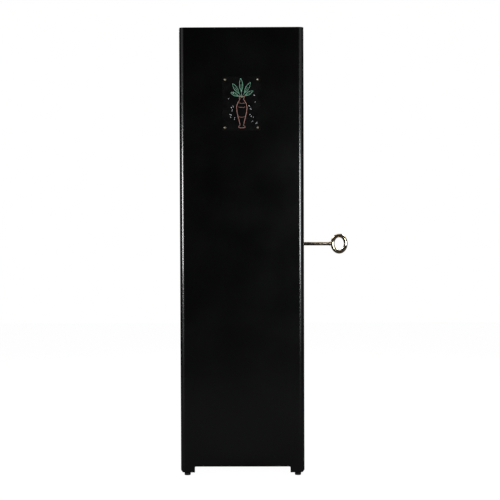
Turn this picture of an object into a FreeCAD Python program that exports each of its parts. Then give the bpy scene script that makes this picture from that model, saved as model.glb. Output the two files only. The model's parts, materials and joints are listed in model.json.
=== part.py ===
import FreeCAD, Part
import math
import os

# A tall floor clock in a black lacquered case: case, glazed door, door lock with its key, dial,
# weight-driven movement, seconds pendulum. Millimetres. +Z is up, the dial faces -Y, and the origin
# lies on the floor under the middle of the case. The lock and its key are on the -X side.

V = FreeCAD.Vector
ALONG_X = V(1, 0, 0)
ALONG_Y = V(0, 1, 0)
ALONG_Z = V(0, 0, 1)
TURN = 2 * math.pi

# ---- case ----
CASE_WIDTH = 596.0
CASE_DEPTH = 320.0
OVERALL_HEIGHT = 2150.0
SIDE_T = 25.0
BACK_T = 12.0
TOP_T = 22.0
FLOOR_T = 18.0
EDGE_R = 24.0             # quarter-round on the back vertical edges
FOOT_HEIGHT = 17.0        # from the floor to the underside of the legs
FOOT_R = 15.0
FOOT_INSET = 31.5         # from the case's faces to a foot's centre
FOOT_STEM_R = 4.0
LEG_WIDTH = 68.0          # at the back
FRONT_LEG_WIDTH = 54.0
LEG_CORNER = 10.0         # cut from each leg's outer bottom corner
RECESS_HEIGHT = 28.0
RECESS_R = 6.0
PLINTH_HEIGHT = 104.0
FLOOR_RISE = 47.0         # from the underside of the legs to the bottom panel
BLOCK_DEPTH = 60.0
BLOCK_SETBACK = 6.0       # from a leg's inner edge to its glue block
INSERT_R = 6.0
INSERT_LENGTH = 26.0
EASE = 1.5                # small rounding on exposed panel edges

# ---- plaque on the back ----
PLAQUE_WIDTH = 184.0
PLAQUE_HEIGHT = 257.0
PLAQUE_T = 3.0
PLAQUE_DROP = 364.0       # from the top of the case to the plaque's centre
PLAQUE_SCREW_X = 156.0
PLAQUE_SCREW_Z = 229.0
PLAQUE_HEAD_R = 5.5
PLAQUE_HEAD_H = 2.6

# ---- door ----
DOOR_T = 22.0
DOOR_GAP = 3.0
DIAL_DROP = 350.0         # from the top of the case to the dial's centre
DIAL_OPENING_R = 190.0
WINDOW_WIDTH = 300.0
WINDOW_BOTTOM = 520.0
WINDOW_TO_DIAL = 240.0    # from the dial's centre down to the window's top
GLASS_T = 4.0
GLASS_LAP = 8.0           # how far the glass laps over its opening
GLASS_PLAY = 1.0
REBATE_DEPTH = 10.0
TRIM_WIDTH = 14.0
TRIM_PROUD = 3.0
TRIM_SLEEVE = 2.5
HINGE_COUNT = 3
HINGE_LENGTH = 70.0
HINGE_FROM_END = 120.0
KNUCKLE_R = 3.5
HINGE_PIN_R = 1.5
LEAF_T = 1.4

# ---- lock and key ----
KEY_HEIGHT = 1111.0
LOCK_SETBACK = 43.0       # from the door's inner face to the spindle
KEY_SHAFT_R = 8.75
KEY_REACH = 225.0         # from the side panel to the end of the bow
BOW_LENGTH = 84.5
BOW_HEIGHT = 100.0
BOW_SECTION_R = 9.4
BUSH_R = 13.0
LOCK_DEPTH = 30.0
SPINDLE_R = 8.0
SQUARE = 9.0
CAM_T = 5.0
STRIKE_RADIUS = 25.0      # from the spindle to the strike's pin
STRIKE_PIN_R = 3.0
CAM_FINGER_T = 5.5
HOOK_PLAY = 1.5           # between the cam's finger and the strike's pin
UNLOCKED = 90.0           # the cam's finger points down as stored and turns up to the strike

# ---- running fits and clearances ----
FIT = 0.05
PLAY = 0.3

# ---- dial ----
DIAL_SETBACK = 25.0       # from the door's inner face to the dial plate
DIAL_PLATE_R = 197.0
DIAL_PLATE_T = 2.0
CHAPTER_OUTER_R = 182.0
CHAPTER_INNER_R = 138.0
CHAPTER_T = 1.5
SECONDS_OUTER_R = 40.0
SECONDS_INNER_R = 31.0
MOTION_GAP = 14.0         # between the dial plate and the front plate

# ---- movement ----
PLATE_T = 3.0
PLATE_GAP = 50.0
PLATE_WIDTH = 140.0
PLATE_MARGIN = 10.0
PILLAR_R = 6.0
PILLAR_INSET = 10.0
GREAT_TEETH = 96
CENTRE_PINION = 8
CENTRE_TEETH = 60
THIRD_PINION = 8
THIRD_TEETH = 56
ESCAPE_PINION = 7
ESCAPE_TEETH = 30
GREAT_MODULE = 1.2
CENTRE_MODULE = 1.2
THIRD_MODULE = 1.1
CANNON_TEETH = 16
MINUTE_TEETH = 48
MINUTE_PINION = 12
HOUR_TEETH = 48
MOTION_MODULE = 0.9
SECONDS_RISE = 68.0       # from the hands' centre up to the escape wheel
ESCAPE_R = 24.0
ANCHOR_RISE = 34.0        # from the escape wheel up to the anchor
PALLET_CLEARANCE = 1.7
ARBOR_R = 2.5
PIVOT_R = 1.5
BARREL_R = 24.7
BARREL_FLANGE_R = 30.0
BARREL_LENGTH = 26.0
BARREL_ARBOR_R = 5.0

# ---- pendulum and weight ----
PENDULUM_SETBACK = 46.0   # from the back plate to the pendulum
PENDULUM_LENGTH = 1000.0  # from the suspension to the bob's centre
ROD_R = 4.0
BOB_R = 75.0
BOB_T = 36.0
NUT_R = 11.0
SEAT_T = 18.0
SEAT_DEPTH = 165.0
CHEEK_WIDTH = 40.0
CHEEK_HEIGHT = 40.0
LINE_R = 0.75
PULLEY_DROP = 320.0       # from the seatboard down to the pulley, as stored
PULLEY_R = 29.0
PULLEY_T = 10.0
WEIGHT_R = 32.0
WEIGHT_LENGTH = 190.0

# ---- levels and planes worked out from the sizes above ----
HALF_W = CASE_WIDTH / 2
INNER_W = HALF_W - SIDE_T
Y_FRONT = -CASE_DEPTH / 2
Y_BACK = CASE_DEPTH / 2
DOOR_BACK = Y_FRONT + DOOR_T
CASE_FRONT = DOOR_BACK + DOOR_GAP
BACK_IN = Y_BACK - BACK_T
TOP_UNDER = OVERALL_HEIGHT - TOP_T
FLOOR_Z = FOOT_HEIGHT + FLOOR_RISE
PLINTH_TOP = FOOT_HEIGHT + PLINTH_HEIGHT
DOOR_Z0 = PLINTH_TOP + DOOR_GAP
DOOR_Z1 = TOP_UNDER - DOOR_GAP
DIAL_Z = OVERALL_HEIGHT - DIAL_DROP
WINDOW_TOP = DIAL_Z - WINDOW_TO_DIAL
GLASS_SEAT = DOOR_BACK - REBATE_DEPTH

DIAL_FACE = DOOR_BACK + DIAL_SETBACK
DIAL_REAR = DIAL_FACE + DIAL_PLATE_T
FRONT_PLATE_Y = DIAL_REAR + MOTION_GAP
GAP_Y0 = FRONT_PLATE_Y + PLATE_T
GAP_Y1 = GAP_Y0 + PLATE_GAP
BACK_PLATE_REAR = GAP_Y1 + PLATE_T
PENDULUM_Y = BACK_PLATE_REAR + PENDULUM_SETBACK

BARREL_Z = DIAL_Z - GREAT_MODULE * (GREAT_TEETH + CENTRE_PINION) / 2
ESCAPE_Z = DIAL_Z + SECONDS_RISE
ANCHOR_Z = ESCAPE_Z + ANCHOR_RISE
GREAT_TIP_R = GREAT_MODULE * (GREAT_TEETH / 2 + 1)
PLATE_Z0 = BARREL_Z - GREAT_TIP_R - PLATE_MARGIN
PLATE_Z1 = ANCHOR_Z + 18.0
SEAT_TOP = PLATE_Z0
SEAT_BOTTOM = SEAT_TOP - SEAT_T
BARREL_Y1 = GAP_Y0 + 33.0
BARREL_Y0 = BARREL_Y1 - BARREL_LENGTH
LINE_Y = (BARREL_Y0 + BARREL_Y1) / 2
LINE_X = BARREL_R + LINE_R + FIT
PULLEY_Z = SEAT_BOTTOM - PULLEY_DROP
BOB_Z = ANCHOR_Z - PENDULUM_LENGTH

LOCK_Y = DOOR_BACK + LOCK_SETBACK
HINGE_X = HALF_W + KNUCKLE_R
HINGE_Y = (DOOR_BACK + CASE_FRONT) / 2


# ---- shapes ----
def box(x0, x1, y0, y1, z0, z1):
    return Part.makeBox(x1 - x0, y1 - y0, z1 - z0, V(x0, y0, z0))


def rod_x(y, z, r, x0, x1):
    return Part.makeCylinder(r, x1 - x0, V(x0, y, z), ALONG_X)


def rod_y(x, z, r, y0, y1):
    return Part.makeCylinder(r, y1 - y0, V(x, y0, z), ALONG_Y)


def rod_z(x, y, r, z0, z1):
    return Part.makeCylinder(r, z1 - z0, V(x, y, z0), ALONG_Z)


def ring_y(x, z, outer, inner, y0, y1):
    return rod_y(x, z, outer, y0, y1).cut(rod_y(x, z, inner, y0 - 1, y1 + 1))


def square_y(x, z, across, y0, y1):
    half = across / 2
    return box(x - half, x + half, y0, y1, z - half, z + half)


def joined(first, *others):
    shape = first
    for other in others:
        shape = shape.fuse(other)
    return shape.removeSplitter()


def without(shape, *tools):
    for tool in tools:
        shape = shape.cut(tool)
    return shape


def round_edges(shape, radius, wanted):
    chosen = [edge for edge in shape.Edges if wanted(edge)]
    return shape.makeFillet(radius, chosen)


def upright_at(edge, x=None, y=None):
    ends = [vertex.Point for vertex in edge.Vertexes]
    if len(ends) != 2 or abs(ends[0].z - ends[1].z) < 1:
        return False
    near_x = x is None or all(abs(p.x - x) < 0.01 for p in ends)
    near_y = y is None or all(abs(p.y - y) < 0.01 for p in ends)
    return near_x and near_y


def stadium(half_width, z0, z1, y0, y1):
    low = z0 + half_width
    high = z1 - half_width
    right_low = V(half_width, y0, low)
    right_high = V(half_width, y0, high)
    left_high = V(-half_width, y0, high)
    left_low = V(-half_width, y0, low)
    edges = [
        Part.LineSegment(right_low, right_high).toShape(),
        Part.Arc(right_high, V(0, y0, z1), left_high).toShape(),
        Part.LineSegment(left_high, left_low).toShape(),
        Part.Arc(left_low, V(0, y0, z0), right_low).toShape(),
    ]
    return Part.Face(Part.Wire(edges)).extrude(V(0, y1 - y0, 0))


def turned(profile, x, y, z, axis):
    """Revolve a closed outline of (radius, distance along the axis) points."""
    side = ALONG_X if axis != ALONG_X else ALONG_Z
    base = V(x, y, z)
    points = [base + side * r + axis * d for r, d in profile]
    face = Part.Face(Part.makePolygon(points + [points[0]]))
    return face.revolve(base, axis, 360)


def wood_screw(point, into, length, shank_r, head_r):
    """A countersunk screw whose head is flush with point, driven along into."""
    depth = head_r - shank_r
    head = Part.makeCone(head_r, shank_r, depth, point, into)
    return head.fuse(Part.makeCylinder(shank_r, length - depth, point + into * depth, into))


# ---- gearing ----
# Half-widths of a tooth at root, pitch circle and tip, as shares of half the pitch.
WHEEL_TOOTH = (0.46, 0.42, 0.14)
PINION_TOOTH = (0.28, 0.34, 0.14)
WHEEL_RISE = (1.5, 1.0)
PINION_RISE = (1.6, 0.7)


def toothed(x, z, y0, y1, teeth, module, phase, tooth, rise):
    pitch_r = teeth * module / 2
    root_r = pitch_r - rise[0] * module
    tip_r = pitch_r + rise[1] * module
    flank = [(root_r, -tooth[0]), (pitch_r, -tooth[1]), (tip_r, -tooth[2])]
    outline = flank + [(r, -share) for r, share in reversed(flank)]
    points = []
    for count in range(teeth):
        for r, share in outline:
            angle = phase + (count + share / 2) * TURN / teeth
            points.append(V(x + r * math.cos(angle), y0, z + r * math.sin(angle)))
    return Part.Face(Part.makePolygon(points + [points[0]])).extrude(V(0, y1 - y0, 0))


def wheel(x, z, y0, y1, teeth, module, phase):
    return toothed(x, z, y0, y1, teeth, module, phase, WHEEL_TOOTH, WHEEL_RISE)


def pinion(x, z, y0, y1, teeth, module, phase):
    return toothed(x, z, y0, y1, teeth, module, phase, PINION_TOOTH, PINION_RISE)


def meshing_phase(teeth, phase, direction, next_teeth):
    """Phase of the next gear, lying in that direction, with a gap facing this gear's tooth."""
    turned_by = (direction - phase) * teeth / TURN
    return direction + math.pi - (0.5 - turned_by) * TURN / next_teeth


def crossed_out(blank, x, z, y0, y1, hub_r, rim_r, spokes, spoke_width):
    """Cut the windows between a wheel's spokes."""
    window = ring_y(x, z, rim_r, hub_r, y0 - 1, y1 + 1)
    for count in range(spokes):
        arm = box(0, rim_r + 1, y0 - 2, y1 + 2, -spoke_width / 2, spoke_width / 2)
        arm.rotate(V(0, 0, 0), ALONG_Y, 90 + count * 360 / spokes)
        arm.translate(V(x, 0, z))
        window = window.cut(arm)
    return blank.cut(window)


# ---- case ----
def recess(y0, y1, leg_width):
    half = HALF_W - leg_width
    top = FOOT_HEIGHT + RECESS_HEIGHT
    cut = box(-half, half, y0, y1, FOOT_HEIGHT - 5, top)

    def upper_corner(edge):
        ends = [vertex.Point for vertex in edge.Vertexes]
        along_y = abs(ends[0].y - ends[1].y) > 1
        return along_y and all(abs(p.z - top) < 0.01 for p in ends)

    return round_edges(cut, RECESS_R, upper_corner)


def leg_corner(sign, y0, y1):
    """The wedge taken off the bottom outer corner on one side of the case."""
    outer = sign * HALF_W
    corners = [V(outer + sign, y0, FOOT_HEIGHT - 1), V(outer - sign * (LEG_CORNER + 1), y0, FOOT_HEIGHT - 1),
               V(outer + sign, y0, FOOT_HEIGHT + LEG_CORNER + 1)]
    return Part.Face(Part.makePolygon(corners + [corners[0]])).extrude(V(0, y1 - y0, 0))


def side_panel(sign):
    inner = sign * INNER_W
    outer = sign * HALF_W
    panel = box(min(inner, outer), max(inner, outer), CASE_FRONT, Y_BACK, FOOT_HEIGHT, TOP_UNDER)
    radius = min(EDGE_R, SIDE_T - 0.5)
    panel = round_edges(panel, radius, lambda edge: upright_at(edge, outer, Y_BACK))
    return without(panel, leg_corner(sign, CASE_FRONT - 1, Y_BACK + 1))


def back_panel():
    panel = box(-INNER_W, INNER_W, BACK_IN, Y_BACK, FOOT_HEIGHT, TOP_UNDER)
    return without(panel, recess(BACK_IN - 1, Y_BACK + 1, LEG_WIDTH))


def top_panel():
    panel = box(-HALF_W, HALF_W, Y_FRONT, Y_BACK, TOP_UNDER, OVERALL_HEIGHT)
    radius = min(EDGE_R, SIDE_T - 0.5)
    panel = round_edges(panel, radius, lambda edge: upright_at(edge, None, Y_BACK))
    panel = round_edges(panel, EASE, lambda edge: upright_at(edge, None, Y_FRONT))

    def top_rim(edge):
        return all(abs(vertex.Point.z - OVERALL_HEIGHT) < 0.01 for vertex in edge.Vertexes)

    return round_edges(panel, EASE, top_rim)


def bottom_panel():
    return box(-INNER_W, INNER_W, CASE_FRONT, BACK_IN, FLOOR_Z, FLOOR_Z + FLOOR_T)


def front_plinth():
    panel = box(-HALF_W, HALF_W, Y_FRONT, CASE_FRONT, FOOT_HEIGHT, PLINTH_TOP)
    panel = round_edges(panel, EASE, lambda edge: upright_at(edge, None, Y_FRONT))
    corners = [leg_corner(sign, Y_FRONT - 1, CASE_FRONT + 1) for sign in (1, -1)]
    return without(panel, recess(Y_FRONT - 1, CASE_FRONT + 1, FRONT_LEG_WIDTH), *corners)


def foot_places():
    x = HALF_W - FOOT_INSET
    rear = Y_BACK - FOOT_INSET
    front = CASE_FRONT + INSERT_R * 2
    return {
        "front_right": (x, front),
        "front_left": (-x, front),
        "rear_right": (x, rear),
        "rear_left": (-x, rear),
    }


def corner_blocks():
    """Glue blocks behind the legs, a little narrower than the legs are inside the side panels."""
    blocks = []
    for x, y in foot_places().values():
        leg_width = LEG_WIDTH if y > 0 else FRONT_LEG_WIDTH
        width = leg_width - SIDE_T - BLOCK_SETBACK
        x0 = INNER_W - width if x > 0 else -INNER_W
        y0 = BACK_IN - BLOCK_DEPTH if y > 0 else CASE_FRONT
        block = box(x0, x0 + width, y0, y0 + BLOCK_DEPTH, FOOT_HEIGHT, FLOOR_Z)
        socket = rod_z(x, y, INSERT_R, FOOT_HEIGHT - 1, FOOT_HEIGHT + INSERT_LENGTH)
        relief = rod_z(x, y, FOOT_STEM_R + PLAY, FOOT_HEIGHT, FLOOR_Z - 4)
        blocks.append(without(block, socket, relief))
    return Part.makeCompound(blocks)


def threaded_inserts():
    sleeves = []
    for x, y in foot_places().values():
        sleeve = rod_z(x, y, INSERT_R, FOOT_HEIGHT, FOOT_HEIGHT + INSERT_LENGTH)
        bore = rod_z(x, y, FOOT_STEM_R + FIT, FOOT_HEIGHT - 1, FLOOR_Z)
        sleeves.append(sleeve.cut(bore))
    return Part.makeCompound(sleeves)


def levelling_foot(x, y):
    top = FOOT_HEIGHT - 1.0
    profile = [
        (0, 0), (FOOT_R - 1.5, 0), (FOOT_R, 1.5), (FOOT_R, top - 1),
        (FOOT_R - 1, top), (FOOT_STEM_R, top), (FOOT_STEM_R, FOOT_HEIGHT + INSERT_LENGTH),
        (0, FOOT_HEIGHT + INSERT_LENGTH),
    ]
    return turned(profile, x, y, 0, ALONG_Z)


# ---- plaque ----
PLAQUE_Z = OVERALL_HEIGHT - PLAQUE_DROP


def plaque_screws():
    screws = []
    face = Y_BACK + PLAQUE_T
    for x in (-PLAQUE_SCREW_X / 2, PLAQUE_SCREW_X / 2):
        for z in (PLAQUE_Z - PLAQUE_SCREW_Z / 2, PLAQUE_Z + PLAQUE_SCREW_Z / 2):
            dome_r = (PLAQUE_HEAD_R ** 2 + PLAQUE_HEAD_H ** 2) / (2 * PLAQUE_HEAD_H)
            ball = Part.makeSphere(dome_r, V(x, face + PLAQUE_HEAD_H - dome_r, z))
            head = ball.common(rod_y(x, z, PLAQUE_HEAD_R, face, face + PLAQUE_HEAD_H + 1))
            shank = rod_y(x, z, 1.8, BACK_IN + 2, face)
            slot = box(x - PLAQUE_HEAD_R, x + PLAQUE_HEAD_R, face + 1.4, face + 4, z - 0.5, z + 0.5)
            screws.append(joined(head, shank).cut(slot))
    return Part.makeCompound(screws)


def plaque():
    half_w = PLAQUE_WIDTH / 2
    half_h = PLAQUE_HEIGHT / 2
    plate = box(-half_w, half_w, Y_BACK, Y_BACK + PLAQUE_T, PLAQUE_Z - half_h, PLAQUE_Z + half_h)

    def corner(edge):
        ends = [vertex.Point for vertex in edge.Vertexes]
        return abs(ends[0].y - ends[1].y) > 1

    return round_edges(plate, 4.0, corner)


# ---- door ----
def glazed_opening(y0, y1, grow):
    """The dial's round opening and the trunk's long window, grown by the same amount."""
    half = WINDOW_WIDTH / 2 + grow
    dial = rod_y(0, DIAL_Z, DIAL_OPENING_R + grow, y0, y1)
    trunk = stadium(half, WINDOW_BOTTOM - grow, WINDOW_TOP + grow, y0, y1)
    return dial, trunk


def door_panel():
    panel = box(-HALF_W, HALF_W, Y_FRONT, DOOR_BACK, DOOR_Z0, DOOR_Z1)
    panel = round_edges(panel, 3.0, lambda edge: upright_at(edge, None, Y_FRONT))
    through = glazed_opening(Y_FRONT - 1, DOOR_BACK + 1, 0)
    rebate = glazed_opening(GLASS_SEAT, DOOR_BACK + 1, GLASS_LAP + GLASS_PLAY)
    return without(panel, *through, *rebate)


def trims():
    """A raised flange round each opening, with a sleeve that lines it."""
    outer = glazed_opening(Y_FRONT - TRIM_PROUD, Y_FRONT, TRIM_WIDTH)
    sleeve = glazed_opening(Y_FRONT - 1, GLASS_SEAT, 0)
    hole = glazed_opening(Y_FRONT - TRIM_PROUD - 1, GLASS_SEAT + 1, -TRIM_SLEEVE)
    shaped = []
    for flange, lining, opening in zip(outer, sleeve, hole):
        front = Y_FRONT - TRIM_PROUD

        def front_rim(edge):
            return all(abs(vertex.Point.y - front) < 0.01 for vertex in edge.Vertexes)

        shaped.append(joined(round_edges(flange, 1.8, front_rim), lining).cut(opening))
    return shaped


def glasses():
    return glazed_opening(GLASS_SEAT, GLASS_SEAT + GLASS_T, GLASS_LAP)


def glass_rings():
    outer = glazed_opening(GLASS_SEAT + GLASS_T, DOOR_BACK, GLASS_LAP + GLASS_PLAY)
    inner = glazed_opening(GLASS_SEAT, DOOR_BACK + 1, 0)
    return [ring.cut(hole) for ring, hole in zip(outer, inner)]


# ---- hinges ----
def hinge_levels():
    low = DOOR_Z0 + HINGE_FROM_END
    high = DOOR_Z1 - HINGE_FROM_END
    step = (high - low) / (HINGE_COUNT - 1)
    return [low + count * step for count in range(HINGE_COUNT)]


def leaf(z, y0, knuckles, bore_r):
    """One hinge leaf: its plate between door and side panel, and its knuckles on the pin."""
    span = HINGE_LENGTH / 5
    bottom = z - HINGE_LENGTH / 2
    shape = box(INNER_W + 2, HALF_W - 0.4, y0, y0 + LEAF_T, bottom, bottom + HINGE_LENGTH)
    for count in knuckles:
        z0 = bottom + count * span + PLAY / 2
        z1 = z0 + span - PLAY
        link = box(HALF_W - 0.5, HINGE_X, y0, y0 + LEAF_T, z0, z1)
        knuckle = rod_z(HINGE_X, HINGE_Y, KNUCKLE_R, z0, z1)
        shape = joined(shape, link, knuckle)
    return shape.cut(rod_z(HINGE_X, HINGE_Y, bore_r, bottom - 1, bottom + HINGE_LENGTH + 1))


def hinge_screws(level_y, into):
    screws = []
    x = (INNER_W + 2 + HALF_W - 0.4) / 2
    for z in hinge_levels():
        for step in (-25.0, 0.0, 25.0):
            screws.append(wood_screw(V(x, level_y, z + step), into, 14.0, 1.3, 2.5))
    return screws


def hinge_leaves(y0, knuckles, bore_r, screws):
    leaves = [leaf(z, y0, knuckles, bore_r) for z in hinge_levels()]
    return Part.makeCompound([without(plate, *screws) for plate in leaves])


def hinge_pins():
    pins = []
    for z in hinge_levels():
        bottom = z - HINGE_LENGTH / 2
        pin = rod_z(HINGE_X, HINGE_Y, HINGE_PIN_R, bottom, bottom + HINGE_LENGTH)
        caps = []
        for end, way in ((bottom + PLAY / 2, -1), (bottom + HINGE_LENGTH - PLAY / 2, 1)):
            ball = Part.makeSphere(KNUCKLE_R - 0.6, V(HINGE_X, HINGE_Y, end))
            z0 = end if way > 0 else end - KNUCKLE_R
            half = box(HINGE_X - 5, HINGE_X + 5, HINGE_Y - 5, HINGE_Y + 5, z0, z0 + KNUCKLE_R)
            caps.append(ball.common(half))
        pins.append(joined(pin, *caps))
    return Part.makeCompound(pins)


# ---- lock and key ----
PANEL_OUT = -HALF_W
PANEL_IN = -INNER_W
LOCK_IN = PANEL_IN + LOCK_DEPTH
SOCKET_FLOOR = PANEL_IN + 13.0
CAM_X0 = LOCK_IN + 2.0
CAM_X1 = CAM_X0 + CAM_T


def square_x(across, x0, x1):
    half = across / 2
    return box(x0, x1, LOCK_Y - half, LOCK_Y + half, KEY_HEIGHT - half, KEY_HEIGHT + half)


def key_bush():
    sleeve = rod_x(LOCK_Y, KEY_HEIGHT, BUSH_R, PANEL_OUT, PANEL_IN)
    return sleeve.cut(rod_x(LOCK_Y, KEY_HEIGHT, KEY_SHAFT_R + FIT * 2, PANEL_OUT - 1, PANEL_IN + 1))


def lock_screws():
    screws = []
    for z in (KEY_HEIGHT - 26.0, KEY_HEIGHT + 26.0):
        screws.append(wood_screw(V(LOCK_IN, LOCK_Y, z), V(-1, 0, 0), LOCK_DEPTH + 12.0, 2.0, 4.0))
    return screws


def lock_case():
    body = box(PANEL_IN, LOCK_IN, LOCK_Y - 18, LOCK_Y + 18, KEY_HEIGHT - 34, KEY_HEIGHT + 34)
    key_way = rod_x(LOCK_Y, KEY_HEIGHT, KEY_SHAFT_R + PLAY, PANEL_IN - 1, SOCKET_FLOOR)
    journal = rod_x(LOCK_Y, KEY_HEIGHT, SPINDLE_R + FIT, PANEL_IN, LOCK_IN + 1)
    return without(body, key_way, journal, *lock_screws())


def annular_sector(inner, outer, from_deg, to_deg):
    """A sector about the spindle in the cam's plane; 0 degrees points at the door, positive is down."""
    ring = rod_x(LOCK_Y, KEY_HEIGHT, outer, CAM_X0, CAM_X1)
    ring = ring.cut(rod_x(LOCK_Y, KEY_HEIGHT, inner, CAM_X0 - 1, CAM_X1 + 1))
    wedge = Part.makeCylinder(
        outer * 2, CAM_T, V(CAM_X0, LOCK_Y, KEY_HEIGHT), ALONG_X, to_deg - from_deg)
    wedge.rotate(V(CAM_X0, LOCK_Y, KEY_HEIGHT), ALONG_X, 180 - 90 + from_deg)
    return ring.common(wedge)


def lock_cam():
    journal = rod_x(LOCK_Y, KEY_HEIGHT, SPINDLE_R, SOCKET_FLOOR, CAM_X0)
    drive = square_x(SQUARE, PANEL_OUT + 9, SOCKET_FLOOR)
    flange = rod_x(LOCK_Y, KEY_HEIGHT, SPINDLE_R + 3, LOCK_IN, CAM_X0)
    hub = rod_x(LOCK_Y, KEY_HEIGHT, SPINDLE_R + 3, CAM_X0, CAM_X1)
    nut = rod_x(LOCK_Y, KEY_HEIGHT, SPINDLE_R, CAM_X1, CAM_X1 + 5)
    inner = STRIKE_RADIUS + STRIKE_PIN_R + HOOK_PLAY
    finger = annular_sector(inner, inner + CAM_FINGER_T, UNLOCKED - 15, UNLOCKED + 50)
    arm = annular_sector(SPINDLE_R, inner + CAM_FINGER_T, UNLOCKED + 30, UNLOCKED + 50)
    return joined(journal, drive, flange, hub, nut, finger, arm)


def strike_screws():
    screws = []
    x = (CAM_X0 + CAM_X1) / 2
    for z in (KEY_HEIGHT - 28.0, KEY_HEIGHT + 28.0):
        screws.append(wood_screw(V(x, DOOR_BACK + 2, z), V(0, -1, 0), 14.0, 1.5, 3.0))
    return screws


def strike():
    pin_y = LOCK_Y - STRIKE_RADIUS
    reach = pin_y + STRIKE_PIN_R + 1.5
    x0 = CAM_X0 - 6
    x1 = CAM_X1 + 6
    base = box(x0, x1, DOOR_BACK, DOOR_BACK + 2, KEY_HEIGHT - 36, KEY_HEIGHT + 36)
    ears = []
    for x in (x0, x1 - 3):
        ears.append(box(x, x + 3, DOOR_BACK, reach, KEY_HEIGHT - 9, KEY_HEIGHT + 9))
    pin = rod_x(pin_y, KEY_HEIGHT, STRIKE_PIN_R, x0, x1)
    return without(joined(base, *ears, pin), *strike_screws())


def key():
    """An oval ring bow on a round shaft, with a square socket in its end."""
    tip = PANEL_OUT - KEY_REACH
    half_x = BOW_LENGTH / 2 - BOW_SECTION_R
    straight = (BOW_HEIGHT - BOW_LENGTH) / 2
    centre_x = tip + BOW_LENGTH / 2
    parts = []
    for way in (1, -1):
        z = KEY_HEIGHT + way * straight
        torus = Part.makeTorus(half_x, BOW_SECTION_R, V(centre_x, LOCK_Y, z), ALONG_Y)
        edge = KEY_HEIGHT + way * (straight + BOW_HEIGHT)
        keep = box(tip - 5, tip + BOW_LENGTH + 5, LOCK_Y - 30, LOCK_Y + 30, min(z, edge), max(z, edge))
        parts.append(torus.common(keep))
    for x in (centre_x - half_x, centre_x + half_x):
        parts.append(rod_z(x, LOCK_Y, BOW_SECTION_R, KEY_HEIGHT - straight, KEY_HEIGHT + straight))
    root = centre_x + half_x
    shaft = rod_x(LOCK_Y, KEY_HEIGHT, KEY_SHAFT_R, root, SOCKET_FLOOR - PLAY)
    collar_x = tip + BOW_LENGTH - 2
    collar = turned([(0, 0), (KEY_SHAFT_R + 0.5, 0), (KEY_SHAFT_R + 2.2, 3), (KEY_SHAFT_R + 2.2, 6),
                     (KEY_SHAFT_R, 9), (0, 9)], collar_x, LOCK_Y, KEY_HEIGHT, ALONG_X)
    whole = joined(parts[0], *parts[1:], shaft, collar)
    return whole.cut(square_x(SQUARE + FIT * 4, PANEL_OUT + 8, SOCKET_FLOOR + 1))


# ---- fixed parts inside the case ----
def seat_holes():
    line = box(-LINE_X - 6, -LINE_X + 6, LINE_Y - 14, LINE_Y + 14, SEAT_BOTTOM - 1, SEAT_TOP + 1)
    anchor_point = rod_z(LINE_X, LINE_Y, LINE_R + PLAY, SEAT_BOTTOM - 1, SEAT_TOP + 1)
    swing = box(-24, 24, PENDULUM_Y - 14, PENDULUM_Y + 14, SEAT_BOTTOM - 1, SEAT_TOP + 1)
    return line, anchor_point, swing


def seatboard():
    y0 = FRONT_PLATE_Y - 8
    board = box(-INNER_W, INNER_W, y0, y0 + SEAT_DEPTH, SEAT_BOTTOM, SEAT_TOP)
    return without(board, *seat_holes(), *seat_bolts())


def seatboard_cheeks():
    y0 = FRONT_PLATE_Y - 8
    y1 = y0 + SEAT_DEPTH
    low = SEAT_BOTTOM - CHEEK_HEIGHT
    right = box(INNER_W - CHEEK_WIDTH, INNER_W, y0, y1, low, SEAT_BOTTOM)
    left = box(-INNER_W, -INNER_W + CHEEK_WIDTH, y0, y1, low, SEAT_BOTTOM)
    return Part.makeCompound([right, left])


def pillar_places():
    x = PLATE_WIDTH / 2 - PILLAR_INSET
    low = PLATE_Z0 + PILLAR_INSET + 2
    high = PLATE_Z1 - PILLAR_INSET
    return [(-x, low), (x, low), (-x, high), (x, high)]


def seat_bolts():
    bolts = []
    y = (GAP_Y0 + GAP_Y1) / 2
    for x, z in pillar_places()[:2]:
        shank = rod_z(x, y, 2.5, SEAT_BOTTOM - 1.5, z)
        washer = rod_z(x, y, 8.0, SEAT_BOTTOM - 1.5, SEAT_BOTTOM)
        head = rod_z(x, y, 5.0, SEAT_BOTTOM - 6.0, SEAT_BOTTOM - 1.5)
        bolts.append(joined(shank, washer, head))
    return bolts


# ---- movement frame and dial ----
CENTRE_DISTANCE = CENTRE_MODULE * (CENTRE_TEETH + THIRD_PINION) / 2
THIRD_DISTANCE = THIRD_MODULE * (THIRD_TEETH + ESCAPE_PINION) / 2
THIRD_RISE = (CENTRE_DISTANCE ** 2 - THIRD_DISTANCE ** 2 + SECONDS_RISE ** 2) / (2 * SECONDS_RISE)
THIRD_X = math.sqrt(CENTRE_DISTANCE ** 2 - THIRD_RISE ** 2)
THIRD_Z = DIAL_Z + THIRD_RISE
STUD_X = -MOTION_MODULE * (CANNON_TEETH + MINUTE_TEETH) / 2
COCK_Y0 = BACK_PLATE_REAR + 14.0
COCK_Y1 = COCK_Y0 + 4.0


def pivot_holes(y0, y1, places):
    return [rod_y(x, z, r + FIT, y0, y1) for x, z, r in places]


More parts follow.
